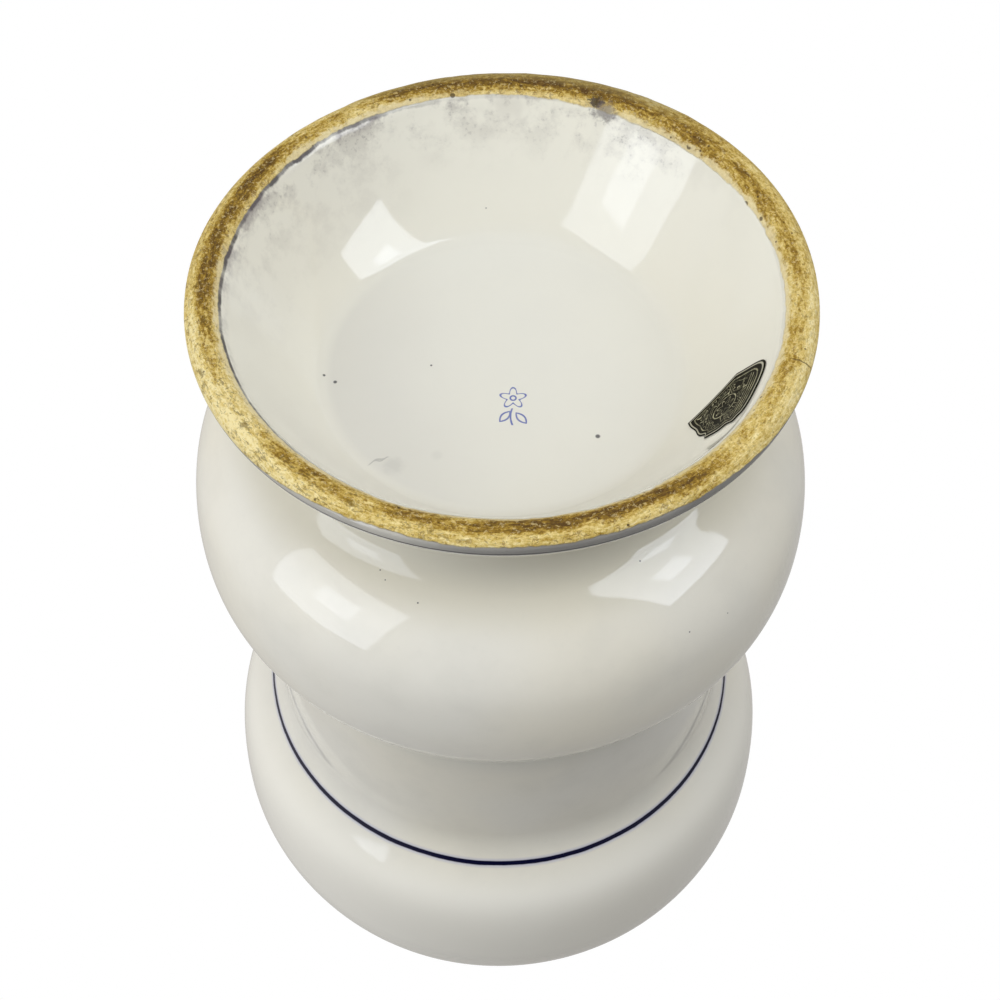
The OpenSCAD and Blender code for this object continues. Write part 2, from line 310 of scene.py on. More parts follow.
# ---- label: a thin shield of foil that lies on the recess wall, one end of it cut in a few shallow scallops
LABEL_L, LABEL_W, LABEL_T, GLUE = 22.8, 19.0, 0.2, 0.06
LABEL_AZ, LABEL_S = math.radians(204.5), 13.2
SHOULDER_P, POINT_P = 5.5, 1.1
label_t0 = 1 - (LABEL_S - 1.2) / np.linalg.norm(wall_foot - wall_top)
label_m = wall_at(label_t0)
label_way = wall_at(label_t0 - 0.01) - wall_at(label_t0 + 0.01)
label_way /= np.linalg.norm(label_way)
e_r = np.array((math.cos(LABEL_AZ), math.sin(LABEL_AZ), 0))
e_t = np.array((-math.sin(LABEL_AZ), math.cos(LABEL_AZ), 0))
e_z = np.array((0, 0, 1.0))
label_long = label_way[0] * e_r + label_way[1] * e_z          # down the wall to the floor
label_wide = e_t
label_face = -label_way[1] * e_r + label_way[0] * e_z         # out of the wall, into the recess
label_mid = label_m[0] * e_r + label_m[1] * e_z
wall_row = np.array([wall_at(i / 300) for i in range(301)])
wall_tan = np.gradient(wall_row, axis=0)
wall_tan /= np.linalg.norm(wall_tan, axis=1)[:, None]


def on_wall(a, b, gap):
    """Points of the label's plane (a down, b across), dropped square onto the recess wall and lifted by gap."""
    flat = label_mid + a[:, None] * label_long + b[:, None] * label_wide
    h = np.zeros(len(a))
    for _ in range(10):
        q = flat + h[:, None] * label_face
        rz = np.c_[np.hypot(q[:, 0], q[:, 1]), q[:, 2]]
        near = np.argmin(((rz[:, None] - wall_row[None]) ** 2).sum(2), 1)
        d = rz - wall_row[near]
        h += gap - (d[:, 0] * wall_tan[near, 1] - d[:, 1] * wall_tan[near, 0])
    return flat + h[:, None] * label_face


def shield(w, cut):
    """Outline of the label: square shoulders towards the ring, a blunt point towards the floor."""
    c, sn = math.cos(w), math.sin(w)
    power = 2 / (SHOULDER_P if c < 0 else POINT_P)
    return (LABEL_L / 2 * math.copysign(abs(c) ** power, c) * cut,
            LABEL_W / 2 * math.copysign(abs(sn) ** power, sn) * cut)


def make_label():
    rings, segs = 26, 180
    a, b, gap = [0.0, 0.0], [0.0, 0.0], [GLUE + LABEL_T * 0.95, GLUE]
    for top in (True, False):
        for i in range(1, rings + 1):
            k = i / rings
            for j in range(segs):
                w = 2 * math.pi * (j + 0.5) / segs
                x, y = shield(w, k * (1 - 0.11 * max(math.sin(w), 0) ** 2 * (0.5 + 0.5 * math.cos(10 * w)) * k ** 8))
                lift = GLUE
                if top:
                    edge = 1 - k ** 10
                    ripple = 0.05 * noise.noise(Vector((x * 0.45, y * 0.45, 3.3))) + 0.025 * noise.noise(Vector((x * 1.3, y * 1.3, 9.1)))
                    lift = GLUE + LABEL_T * (0.55 + 0.40 * edge) + ripple * edge * 0.6
                a.append(x)
                b.append(y)
                gap.append(lift)
    verts = [tuple(v) for v in on_wall(np.array(a), np.array(b), np.array(gap)) * MM]
    faces = []

    def at(layer, i, j):
        return 2 + (layer * rings + i) * segs + j % segs

    for j in range(segs):
        faces.append((0, at(0, 0, j), at(0, 0, j + 1)))
        faces.append((1, at(1, 0, j + 1), at(1, 0, j)))
        for i in range(rings - 1):
            faces.append((at(0, i, j), at(0, i + 1, j), at(0, i + 1, j + 1), at(0, i, j + 1)))
            faces.append((at(1, i, j), at(1, i, j + 1), at(1, i + 1, j + 1), at(1, i + 1, j)))
        faces.append((at(0, rings - 1, j), at(1, rings - 1, j), at(1, rings - 1, j + 1), at(0, rings - 1, j + 1)))
    mesh = bpy.data.meshes.new("foil_label_shield")
    mesh.from_pydata(verts, [], faces)
    mesh.polygons.foreach_set("use_smooth", [True] * len(mesh.polygons))
    mesh.validate()
    mesh.update()
    obj = bpy.data.objects.new("foil_label_shield", mesh)
    scene.collection.objects.link(obj)
    return obj


label = make_label()


def face_outward(obj):
    """Turns all faces the same way, out of the piece."""
    import bmesh
    bm = bmesh.new()
    bm.from_mesh(obj.data)
    bmesh.ops.recalc_face_normals(bm, faces=bm.faces)
    bm.to_mesh(obj.data)
    bm.free()
    obj.data.update()


for piece in (jar, lid, label):
    face_outward(piece)


# ---------------------------------------------------------------- material nodes
def srgb(r, g, b):
    def lin(v):
        v /= 255
        return v / 12.92 if v <= 0.04045 else ((v + 0.055) / 1.055) ** 2.4
    return (lin(r), lin(g), lin(b), 1.0)


class Tree:
    """Small helper: each call adds a node and returns its output socket."""

    def __init__(self, name):
        self.mat = bpy.data.materials.new(name)
        self.mat.use_nodes = True
        self.t = self.mat.node_tree
        self.t.nodes.clear()

    def add(self, kind, **props):
        n = self.t.nodes.new(kind)
        for k, v in props.items():
            setattr(n, k, v)
        return n

    def put(self, socket, value):
        if isinstance(value, bpy.types.NodeSocket):
            self.t.links.new(value, socket)
        else:
            socket.default_value = value

    def math(self, op, a, b=None, c=None, clamp=False):
        n = self.add("ShaderNodeMath", operation=op, use_clamp=clamp)
        for i, v in enumerate((a, b, c)):
            if v is not None:
                self.put(n.inputs[i], v)
        return n.outputs[0]

    def mul(self, *v):
        out = v[0]
        for x in v[1:]:
            out = self.math("MULTIPLY", out, x)
        return out

    def plus(self, *v):
        out = v[0]
        for x in v[1:]:
            out = self.math("ADD", out, x)
        return out

    def minus(self, a, b):
        return self.math("SUBTRACT", a, b)

    def away(self, a, b):
        """Distance between two numbers."""
        return self.math("ABSOLUTE", self.math("SUBTRACT", a, b))

    def vec(self, op, a, b=None, scale=None):
        n = self.add("ShaderNodeVectorMath", operation=op)
        self.put(n.inputs[0], a)
        if b is not None:
            self.put(n.inputs[1], b)
        if scale is not None:
            self.put(n.inputs[3], scale)
        return n.outputs["Value"] if op in ("LENGTH", "DISTANCE", "DOT_PRODUCT") else n.outputs["Vector"]

    def xyz(self, x, y, z):
        n = self.add("ShaderNodeCombineXYZ")
        for s, v in zip(n.inputs, (x, y, z)):
            self.put(s, v)
        return n.outputs[0]

    def split(self, v):
        n = self.add("ShaderNodeSeparateXYZ")
        self.put(n.inputs[0], v)
        return n.outputs[0], n.outputs[1], n.outputs[2]

    def noise(self, v, scale, detail=2.0, rough=0.5, distort=0.0):
        n = self.add("ShaderNodeTexNoise")
        self.put(n.inputs["Vector"], v)
        n.inputs["Scale"].default_value = scale
        n.inputs["Detail"].default_value = detail
        n.inputs["Roughness"].default_value = rough
        n.inputs["Distortion"].default_value = distort
        return n.outputs[0]

    def cells(self, v, scale, feature="F1", random=1.0):
        n = self.add("ShaderNodeTexVoronoi", feature=feature)
        self.put(n.inputs["Vector"], v)
        n.inputs["Scale"].default_value = scale
        n.inputs["Randomness"].default_value = random
        return n.outputs["Distance"], n.outputs["Color"]

    def step(self, x, lo, hi):
        """0 below lo, 1 above hi, smooth between. With lo above hi it falls instead."""
        n = self.add("ShaderNodeMapRange", interpolation_type="SMOOTHSTEP")
        self.put(n.inputs[0], x)
        if not isinstance(lo, bpy.types.NodeSocket) and not isinstance(hi, bpy.types.NodeSocket) and lo > hi:
            n.inputs[1].default_value, n.inputs[2].default_value = hi, lo
            n.inputs[3].default_value, n.inputs[4].default_value = 1.0, 0.0
        else:
            self.put(n.inputs[1], lo)
            self.put(n.inputs[2], hi)
            n.inputs[3].default_value, n.inputs[4].default_value = 0.0, 1.0
        return n.outputs[0]

    def mix(self, fac, a, b):
        n = self.add("ShaderNodeMix", data_type="RGBA", blend_type="MIX")
        self.put(n.inputs[0], fac)
        self.put(n.inputs[6], a)
        self.put(n.inputs[7], b)
        return n.outputs[2]

    def ramp(self, fac, stops):
        n = self.add("ShaderNodeValToRGB")
        e = n.color_ramp.elements
        while len(e) < len(stops):
            e.new(0.5)
        for one, (at, colour) in zip(e, stops):
            one.position, one.color = at, colour
        self.put(n.inputs[0], fac)
        return n.outputs[0]

    def blend(self, fac, a, b):
        """Mix of two numbers."""
        n = self.add("ShaderNodeMix", data_type="FLOAT")
        self.put(n.inputs[0], fac)
        self.put(n.inputs[2], a)
        self.put(n.inputs[3], b)
        return n.outputs[0]

    def place(self):
        """Position on the part in mm: the vector, its parts, the distance from the axis, and the direction from the axis."""
        tc = self.add("ShaderNodeTexCoord")
        p = self.vec("SCALE", tc.outputs["Object"], scale=1000.0)
        x, y, z = self.split(p)
        r = self.math("SQRT", self.plus(self.mul(x, x), self.mul(y, y)))
        safe = self.math("MAXIMUM", r, 0.01)
        return p, x, y, z, r, self.math("DIVIDE", x, safe), self.math("DIVIDE", y, safe)

    def toward(self, ux, uy, az, lo, hi):
        """1 on the side of the jar that faces the bearing az, fading out between the two cosines."""
        d = self.plus(self.mul(ux, math.cos(math.radians(az))), self.mul(uy, math.sin(math.radians(az))))
        return self.step(d, lo, hi)

    def finish(self, colour, rough, height=None, distance=0.0002, strength=1.0, metallic=0.0, gloss=0.5):
        b = self.add("ShaderNodeBsdfPrincipled")
        self.put(b.inputs["Base Color"], colour)
        self.put(b.inputs["Roughness"], rough)
        self.put(b.inputs["Metallic"], metallic)
        b.inputs["IOR"].default_value = 1.5
        b.inputs["Specular IOR Level"].default_value = gloss
        if height is not None:
            n = self.add("ShaderNodeBump")
            n.inputs["Strength"].default_value = strength
            n.inputs["Distance"].default_value = distance
            self.put(n.inputs["Height"], height)
            self.put(b.inputs["Normal"], n.outputs[0])
        out = self.add("ShaderNodeOutputMaterial")
        self.put(out.inputs[0], b.outputs[0])
        return self.mat


WHITE_WARM, WHITE_COOL = srgb(238, 232, 214), srgb(236, 232, 219)
COBALT, COBALT_HALO = srgb(9, 11, 44), srgb(120, 128, 190)


def glaze_tone(t, p):
    """White glaze: broad cream and grey drifts, and a faint fine mottle under the gloss."""
    broad = t.noise(p, 0.017, 2.0, 0.5)
    middle = t.noise(p, 0.075, 3.0, 0.55)
    fine = t.noise(p, 0.55, 3.0, 0.6)
    tone = t.mix(t.step(broad, 0.35, 0.65), WHITE_WARM, WHITE_COOL)
    tone = t.mix(t.mul(t.step(middle, 0.42, 0.75), 0.16), tone, srgb(206, 203, 190))
    return t.mix(t.mul(t.step(fine, 0.55, 0.85), 0.07), tone, srgb(190, 188, 178)), broad, middle, fine


def line_band(t, r, z, wob, r0, z0, half):
    """A brushed cobalt line round the jar: a dense core and a soft edge where the colour ran into the glaze."""
    d = t.math("SQRT", t.plus(t.math("POWER", t.minus(r, r0), 2.0), t.math("POWER", t.minus(z, t.plus(z0, wob)), 2.0)))
    return t.step(t.minus(d, half), 0.16, -0.14), t.step(t.minus(d, half), 1.1, -0.1)


def speck(t, p, at, size):
    d = t.vec("DISTANCE", p, at)
    return t.step(d, size * 1.25, size * 0.6)


def make_jar_material():
    t = Tree("glazed_white_bare_foot")
    p, x, y, z, r, ux, uy = t.place()
    tone, broad, middle, fine = glaze_tone(t, p)
    around = t.noise(t.xyz(ux, uy, 0.0), 4.0, 3.0, 0.6)          # slow change round the jar
    around_fine = t.noise(t.xyz(ux, uy, 0.4), 19.0, 4.0, 0.6)    # quicker change round the jar

    # --- painted shade and light: the glaze is painted darker in the neck and where the bulge runs in to the waist, where shade falls, and paler on the upper swell, where light falls
    tone = t.mix(t.mul(t.step(z, 24.0, 29.0), t.step(z, 43.0, 35.0), t.step(r, 46.0, 48.0), 0.75), tone, srgb(226, 219, 196))
    tone = t.mix(t.mul(t.step(z, 74.0, 88.0), t.step(z, 110.0, 98.0), 0.60), tone, srgb(224, 221, 207))
    tone = t.mix(t.mul(t.step(z, 149.0, 158.0), t.step(z, 206.0, 184.0), 0.80), tone, srgb(247, 243, 230))

    # --- recess: painted shade, the glaze in the hollow set a shade darker than the glaze outside
    in_recess = t.mul(t.step(z, 28.9, 28.4), t.step(t.plus(r, t.mul(z, 0.782)), 65.5, 64.0))
    recess_shade = t.mix(t.step(r, 36.0, 43.0), srgb(226, 225, 215), srgb(229, 226, 212))
    colour = t.mix(t.mul(in_recess, 0.80), tone, recess_shade)

    # painted shadow: the edge of the recess floor greyed on its +X side, where the recess wall shades it from the +X
    # softbox
    floor_wall_shadow = t.mul(t.step(r, 39.4, 36.6), t.step(r, 8.0, 30.0), t.toward(ux, uy, -14, 0.1, 0.95), t.step(z, 27.0, 27.4), t.step(z, 28.9, 28.4))
    colour = t.mix(t.mul(floor_wall_shadow, 0.26), colour, srgb(204, 202, 198))

    # --- where the glaze ends on the ring
    edge = t.plus(RING_R, t.mul(t.minus(around_fine, 0.5), 0.8), t.mul(t.minus(fine, 0.5), 0.25))
    past = t.minus(r, edge)
    wrap = t.minus(1.0, t.toward(ux, uy, -97, 0.50, 0.86))
    top = t.plus(1.55, t.mul(wrap, 1.45), t.mul(t.minus(around, 0.5), 1.3), t.mul(t.minus(fine, 0.5), 0.5))
    low = t.step(z, 6.0, 5.0)
    bare = t.mul(low, t.step(past, -0.14, 0.14), t.step(t.minus(z, top), 0.14, -0.14))

    # --- smudges and fine soot in the recess, thickest against the ring on the far side
    near_edge = t.step(r, 47.5, 58.6)
    soot_side = t.math("MAXIMUM", t.toward(ux, uy, 62, 0.35, 0.93), t.mul(t.toward(ux, uy, 112, 0.88, 0.99), 1.0))
    cloud = t.step(t.noise(p, 0.16, 4.0, 0.65), 0.44, 0.66)
    grit = t.step(t.noise(p, 1.05, 3.0, 0.7), 0.50, 0.72)
    soot = t.mul(near_edge, near_edge, soot_side, cloud, t.plus(0.35, t.mul(grit, 0.65)), in_recess)
    colour = t.mix(t.mul(soot, 0.80), colour, srgb(132, 125, 121))
    haze = t.mul(in_recess, t.step(t.noise(p, 0.085, 3.0, 0.6), 0.48, 0.72), t.toward(ux, uy, 75, 0.0, 0.8), near_edge)
    haze = t.math("MAXIMUM", haze, t.mul(in_recess, t.toward(ux, uy, 30, 0.72, 0.97), t.step(r, 43.0, 50.0), t.plus(0.35, t.mul(cloud, 0.5))))
    colour = t.mix(t.mul(haze, 0.25), colour, srgb(180, 174, 164))

    # --- dark grime along the glaze edge, heavy on the +X side, thin elsewhere
    swell = t.noise(t.xyz(ux, uy, 0.9), 10.0, 4.0, 0.62)
    seam = t.step(t.minus(t.away(past, -0.24), t.mul(t.minus(swell, 0.5), 1.1)), 0.54, 0.18)
    heavy = t.plus(0.14, t.mul(t.toward(ux, uy, 8, 0.30, 0.80), 0.80))
    grime = t.mul(seam, heavy, t.plus(0.55, t.mul(t.step(swell, 0.34, 0.58), 0.45)), low, t.step(z, 2.6, 2.2))
    colour = t.mix(t.mul(grime, 0.97), colour, srgb(40, 30, 33))
    bleed = t.mul(t.step(t.away(past, -0.7), 1.3, 0.2), t.toward(ux, uy, 30, 0.2, 0.95), cloud, low)
    colour = t.mix(t.mul(bleed, 0.40), colour, srgb(104, 92, 100))

    spot_d, spot_c = t.cells(t.vec("ADD", p, (5.0, 2.0, 9.0)), 0.42)
    spots = t.mul(t.step(t.split(spot_c)[0], 0.62, 0.66), t.step(t.plus(spot_d, t.mul(t.minus(fine, 0.5), 0.25)), 0.30, 0.20),
                  t.step(t.away(past, 0.05), 0.75, 0.45), low, t.toward(ux, uy, 120, 0.45, 0.80))
    spots = t.mul(spots, t.step(z, 2.8, 2.4))

    # --- a grey band round the outer edge of the foot, darker towards bearing 236°, and the dark line at its turn
    outer = t.mul(t.step(r, 62.0, 63.0), t.step(z, 0.7, 1.3))
    edge_band = t.mul(outer, t.step(z, 4.3, 3.2))
    colour = t.mix(t.mul(edge_band, t.plus(0.62, t.mul(t.minus(around, 0.5), 0.5))), colour, srgb(138, 135, 130))
    colour = t.mix(t.mul(edge_band, t.toward(ux, uy, 236, 0.55, 0.92), 0.55), colour, srgb(74, 74, 78))
    dark_turn = t.mul(outer, t.step(t.away(z, t.plus(3.35, t.mul(t.minus(around_fine, 0.5), 0.25))), 0.34, 0.14))
    colour = t.mix(t.mul(dark_turn, 0.85), colour, srgb(52, 50, 56))

    # --- bare clay: gold to brown in streaks round the ring, stained darkest along the line that touches the table
    across = t.math("DIVIDE", t.minus(r, RING_R), FOOT_R - RING_R)
    over = t.plus(across, t.mul(t.step(r, 62.5, 63.5), z, 0.10))
    long_run = t.noise(t.xyz(t.mul(ux, 12.0), t.mul(uy, 12.0), t.mul(over, 6.0)), 1.0, 3.0, 0.60, 0.5)
    short_run = t.noise(t.xyz(t.mul(ux, 36.0), t.mul(uy, 36.0), t.mul(over, 12.0)), 1.0, 3.0, 0.65, 0.6)
    patches = t.noise(t.xyz(t.mul(ux, 4.2), t.mul(uy, 4.2), t.mul(over, 1.6)), 1.0, 3.0, 0.55)
    sand = t.noise(p, 1.5, 4.0, 0.75)
    zone = t.mul(t.toward(ux, uy, 12, 0.76, 0.985), 0.95)
    for az, lo, hi, much in ((94, 0.78, 0.985, 1.0), (252, 0.85, 0.985, 0.95), (128, 0.955, 0.995, 0.40), (308, 0.970, 0.997, 0.60), (276, 0.93, 0.99, 0.55)):
        zone = t.math("MAXIMUM", zone, t.mul(t.toward(ux, uy, az, lo, hi), much))
    middle_line = t.plus(0.40, t.mul(t.minus(around, 0.5), 0.45))
    band = t.step(t.away(over, middle_line), 0.40, 0.05)
    depth = t.plus(0.22, t.mul(t.toward(ux, uy, 150, 0.84, 0.97), 0.18), t.mul(t.toward(ux, uy, 331, 0.84, 0.97), -0.18), t.mul(band, t.plus(0.17, t.mul(zone, 0.40))), t.mul(zone, 0.12),
                   t.mul(t.minus(long_run, 0.5), t.plus(0.45, t.mul(band, 0.60))), t.mul(t.minus(short_run, 0.5), 1.15),
                   t.mul(t.minus(patches, 0.5), 0.55), t.mul(t.minus(sand, 0.5), 0.95))
    clay = t.ramp(depth, ((0.0, srgb(238, 221, 162)), (0.20, srgb(222, 199, 126)), (0.42, srgb(198, 169, 84)),
                          (0.62, srgb(160, 127, 38)), (0.80, srgb(123, 92, 10)), (1.0, srgb(84, 57, 2))))
    flecks = t.noise(t.xyz(t.mul(ux, 58.0), t.mul(uy, 58.0), t.mul(over, 9.0)), 1.0, 3.0, 0.70, 0.8)
    clay = t.mix(t.mul(t.step(flecks, 0.555, 0.605), t.plus(0.30, t.mul(zone, 0.35), t.mul(band, 0.20))), clay, srgb(112, 81, 20))
    chips = t.noise(t.vec("ADD", p, (11.0, 4.0, 2.0)), 1.2, 3.0, 0.70, 0.4)
    clay = t.mix(t.mul(t.step(chips, 0.56, 0.61), 0.36), clay, srgb(238, 218, 158))
    dirt = t.step(t.noise(t.xyz(t.mul(ux, 26.0), t.mul(uy, 26.0), t.mul(over, 4.5)), 1.0, 4.0, 0.72, 0.6), 0.555, 0.625)
    clay = t.mix(t.mul(dirt, t.plus(0.26, t.mul(t.toward(ux, uy, -38, 0.55, 0.92), 0.34))), clay, srgb(92, 72, 16))
    # painted shade: the outer part of the ring on the far (+Y) side darkened to olive brown, where it turns away from
    # the light
    far_rim_shade = t.mul(t.toward(ux, uy, 94, 0.70, 0.96), t.step(over, 0.42, 0.60))
    clay = t.mix(t.mul(far_rim_shade, 0.55), clay, srgb(122, 105, 60))
    clean = t.minus(1.0, t.math("MAXIMUM", t.mul(t.toward(ux, uy, 23, 0.960, 0.990), 0.85), t.mul(t.toward(ux, uy, 92, 0.92, 0.985), 0.70)))
    cream = t.mul(clean, t.step(t.plus(across, t.mul(t.minus(around_fine, 0.5), 0.30), t.mul(t.minus(short_run, 0.5), 0.30)), 0.19, 0.06))
    clay = t.mix(t.mul(cream, 0.66), clay, srgb(226, 212, 170))
    pit_d, pit_c = t.cells(p, 0.62)
    chosen = t.step(t.split(pit_c)[0], 0.90, 0.93)
    pits = t.mul(chosen, t.step(pit_d, 0.24, 0.12))
    clay = t.mix(t.mul(pits, 0.75), clay, srgb(66, 44, 14))
    blot = t.step(t.plus(t.vec("DISTANCE", p, (-20.8, 55.6, 0.8)), t.mul(t.minus(sand, 0.5), 4.2), t.mul(t.minus(short_run, 0.5), 2.5)), 2.1, 1.2)
    clay = t.mix(t.mul(blot, 0.9), clay, srgb(50, 38, 20))
    # a hairline crack across the ring
    crack_line = t.plus(t.mul(x, math.sin(math.radians(198.6))), t.mul(y, -math.cos(math.radians(198.6))), t.mul(t.minus(t.noise(p, 0.6, 2.0), 0.5), 1.1))
    crack = t.mul(t.step(t.math("ABSOLUTE", crack_line), 0.20, 0.05), t.step(ux, -0.80, -0.90), t.step(across, 0.25, 0.5))
    clay = t.mix(t.mul(crack, 0.70), clay, srgb(98, 72, 32))
    colour = t.mix(bare, colour, clay)
    colour = t.mix(t.mul(spots, 0.8), colour, srgb(58, 42, 22))
    spill = t.mul(t.step(t.plus(t.vec("DISTANCE", p, (-22.3, 53.6, 2.0)), t.mul(t.minus(t.noise(p, 0.7, 4.0, 0.7), 0.5), 7.0)), 3.6, 1.4), in_recess)
    colour = t.mix(t.mul(spill, 0.62), colour, srgb(96, 88, 92))

    # --- painted line
    wob = t.plus(t.mul(t.minus(around, 0.5), 0.55), t.mul(t.minus(around_fine, 0.5), 0.12))
    brush = t.plus(0.40, t.mul(t.toward(ux, uy, -90, -0.1, 0.95), 0.22), t.mul(t.minus(around_fine, 0.5), 0.12))
    core, halo = line_band(t, r, z, wob, LINE_R, LINE_Z, brush)
    colour = t.mix(t.mul(halo, 0.38), colour, COBALT_HALO)
    colour = t.mix(core, colour, COBALT)

    # --- small brush-drawn blossom in thin blue on the recess floor
    fx, fy = t.minus(-2.6, x), t.minus(y, -10.2)
    by = t.minus(fy, 2.2)
    rho = t.math("SQRT", t.plus(t.mul(fx, fx), t.mul(by, by)))
    phi = t.math("ARCTAN2", fx, by)
    petal = t.plus(2.15, t.mul(t.math("COSINE", t.mul(phi, 5.0)), 0.72))
    hand = t.mul(t.minus(t.noise(p, 0.9, 2.0), 0.5), 0.16)
    petals = t.step(t.plus(t.away(rho, petal), hand), 0.30, 0.13)
    eye = t.step(t.away(rho, 0.62), 0.26, 0.12)
    stalk_x = t.mul(t.math("SINE", t.mul(fy, 0.55)), 0.55)
    stalk = t.mul(t.step(t.plus(t.away(fx, stalk_x), hand), 0.28, 0.12), t.step(fy, -0.55, -0.75), t.step(fy, -5.4, -5.1))
    leaf_l = leaf(t, fx, fy, -1.75, -2.9, 38, hand)
    leaf_r = leaf(t, fx, fy, 1.75, -3.3, -38, hand)
    ink = t.math("MAXIMUM", t.math("MAXIMUM", petals, eye), t.math("MAXIMUM", stalk, t.math("MAXIMUM", leaf_l, leaf_r)))
    on_floor = t.mul(t.step(z, 27.0, 27.4), t.step(z, 28.9, 28.4))
    ink = t.mul(ink, on_floor, t.plus(0.62, t.mul(t.noise(p, 0.8, 3.0), 0.5)))
    colour = t.mix(t.math("MINIMUM", ink, 0.9), colour, srgb(74, 92, 168))

    # --- iron specks and pinholes in the glaze
    dots = None
    for at, size in (((-20.7, -18.3, 28.0), 0.55), ((36.2, -3.9, 28.0), 0.44), ((38.7, -2.2, 27.8), 0.34), ((15.4, 1.0, 28.0), 0.26),
                     ((3.8, 44.0, 22.9), 0.28), ((16.9, -54.3, 38.3), 0.20), ((-40.3, -54.0, 49.3), 0.20), ((24.9, -47.4, 36.5), 0.17),
                     ((23.8, -49.4, 37.2), 0.15), ((-29.3, -44.7, 36.4), 0.20), ((-49.0, -47.8, 51.5), 0.17)):
        d = speck(t, p, at, size)
        dots = d if dots is None else t.math("MAXIMUM", dots, d)
    far_d, far_c = t.cells(p, 0.055)
    loose = t.mul(t.step(t.split(far_c)[1], 0.66, 0.70), t.step(far_d, 0.011, 0.006))
    dots = t.math("MAXIMUM", dots, loose)
    colour = t.mix(t.mul(dots, 0.85), colour, srgb(62, 60, 66))
    scratch = t.mul(t.step(t.away(t.plus(t.mul(x, 0.52), t.mul(y, 0.85), t.mul(t.math("SINE", t.mul(x, 1.6)), 0.35)), -7.9), 0.28, 0.10),
                    t.step(t.vec("DISTANCE", p, (26.0, -25.6, 28.0)), 2.6, 1.6))
    scratch = t.math("MAXIMUM", scratch, t.mul(t.step(t.away(t.plus(t.mul(x, 0.36), t.mul(y, 0.93), t.mul(t.math("SINE", t.mul(x, 2.3)), 0.25)), -14.2), 0.24, 0.08),
                                               t.step(t.vec("DISTANCE", p, (25.2, -25.4, 28.0)), 2.2, 1.4)))
    colour = t.mix(t.mul(scratch, 0.34), colour, srgb(92, 90, 92))
    scuff = t.mul(t.step(t.plus(t.vec("DISTANCE", p, (22.6, -26.4, 28.0)), t.mul(t.minus(t.noise(p, 0.6, 3.0), 0.5), 3.0)), 3.2, 0.6), in_recess)
    scuff = t.math("MAXIMUM", scuff, t.mul(0.5, t.step(t.vec("DISTANCE", p, (13.5, -23.7, 28.0)), 1.8, 0.4)))
    colour = t.mix(t.mul(scuff, 0.16), colour, srgb(140, 138, 136))

    rough = t.blend(bare, t.plus(0.055, t.mul(soot, 0.25), t.mul(grime, 0.5), t.mul(t.step(middle, 0.45, 0.75), 0.02)), t.plus(0.62, t.mul(sand, 0.3)))
    ripple = t.plus(t.mul(t.noise(p, 0.12, 2.0, 0.4), 0.22), t.mul(t.noise(p, 0.5, 2.0, 0.5), 0.020))
    grain = t.plus(t.mul(sand, 0.9), t.mul(short_run, 0.6), t.mul(pits, -0.9), t.mul(crack, -1.0))
    height = t.plus(t.mul(t.minus(1.0, bare), ripple), t.mul(bare, grain))
    return t.finish(colour, rough, height, 0.00022, 1.0)


def leaf(t, fx, fy, cx, cy, lean, hand):
    """A small pointed leaf in outline."""
    a = math.radians(lean)
    dx, dy = t.minus(fx, cx), t.minus(fy, cy)
    u = t.plus(t.mul(dx, math.cos(a)), t.mul(dy, -math.sin(a)))
    v = t.plus(t.mul(dx, math.sin(a)), t.mul(dy, math.cos(a)))
    lens = t.plus(t.math("DIVIDE", t.math("ABSOLUTE", u), 0.78), t.math("POWER", t.math("DIVIDE", v, 1.75), 2.0))
    return t.step(t.plus(t.away(lens, 1.0), t.mul(hand, 0.6)), 0.36, 0.16)


def make_lid_material():
    t = Tree("glazed_white_lid")
    p, x, y, z, r, ux, uy = t.place()
    tone, broad, middle, fine = glaze_tone(t, p)
    tone = t.mix(t.mul(t.step(middle, 0.9, 0.3), 0.55), tone, srgb(247, 243, 230))
    around = t.noise(t.xyz(ux, uy, 0.0), 4.0, 3.0, 0.6)
    around_fine = t.noise(t.xyz(ux, uy, 0.4), 19.0, 4.0, 0.6)
    wob = t.plus(t.mul(t.minus(around, 0.5), 0.5), t.mul(t.minus(around_fine, 0.5), 0.12))
    colour = tone
    core, halo = line_band(t, r, z, wob, LID_R - 3.6, BODY_H + 7.6, 0.68)
    core2, halo2 = line_band(t, r, z, wob, KNOB_R - 0.35, knob_mid + 3.1, 0.60)
    colour = t.mix(t.mul(t.math("MAXIMUM", halo, halo2), 0.42), colour, COBALT_HALO)
    colour = t.mix(t.math("MAXIMUM", core, core2), colour, COBALT)
    # the resting edge of the flange is bare clay
    sand = t.noise(p, 1.5, 4.0, 0.7)
    edge = t.plus(BODY_H - FLANGE_H + 1.0, t.mul(t.minus(around_fine, 0.5), 0.9))
    bare = t.mul(t.step(t.minus(z, edge), 0.12, -0.12), t.step(r, 40.0, 41.0))
    clay = t.mix(t.step(sand, 0.35, 0.65), srgb(226, 200, 140), srgb(188, 152, 84))
    colour = t.mix(bare, colour, clay)
    far_d, far_c = t.cells(p, 0.055)
    loose = t.mul(t.step(t.split(far_c)[1], 0.70, 0.74), t.step(far_d, 0.014, 0.008))
    colour = t.mix(t.mul(loose, 0.8), colour, srgb(62, 60, 66))
    rough = t.blend(bare, t.plus(0.055, t.mul(t.step(middle, 0.45, 0.75), 0.02)), t.plus(0.62, t.mul(sand, 0.3)))
    ripple = t.plus(t.mul(t.noise(p, 0.12, 2.0, 0.4), 0.22), t.mul(t.noise(p, 0.5, 2.0, 0.5), 0.020))
    height = t.plus(t.mul(t.minus(1.0, bare), ripple), t.mul(bare, sand))
    return t.finish(colour, rough, height, 0.00022, 1.0)


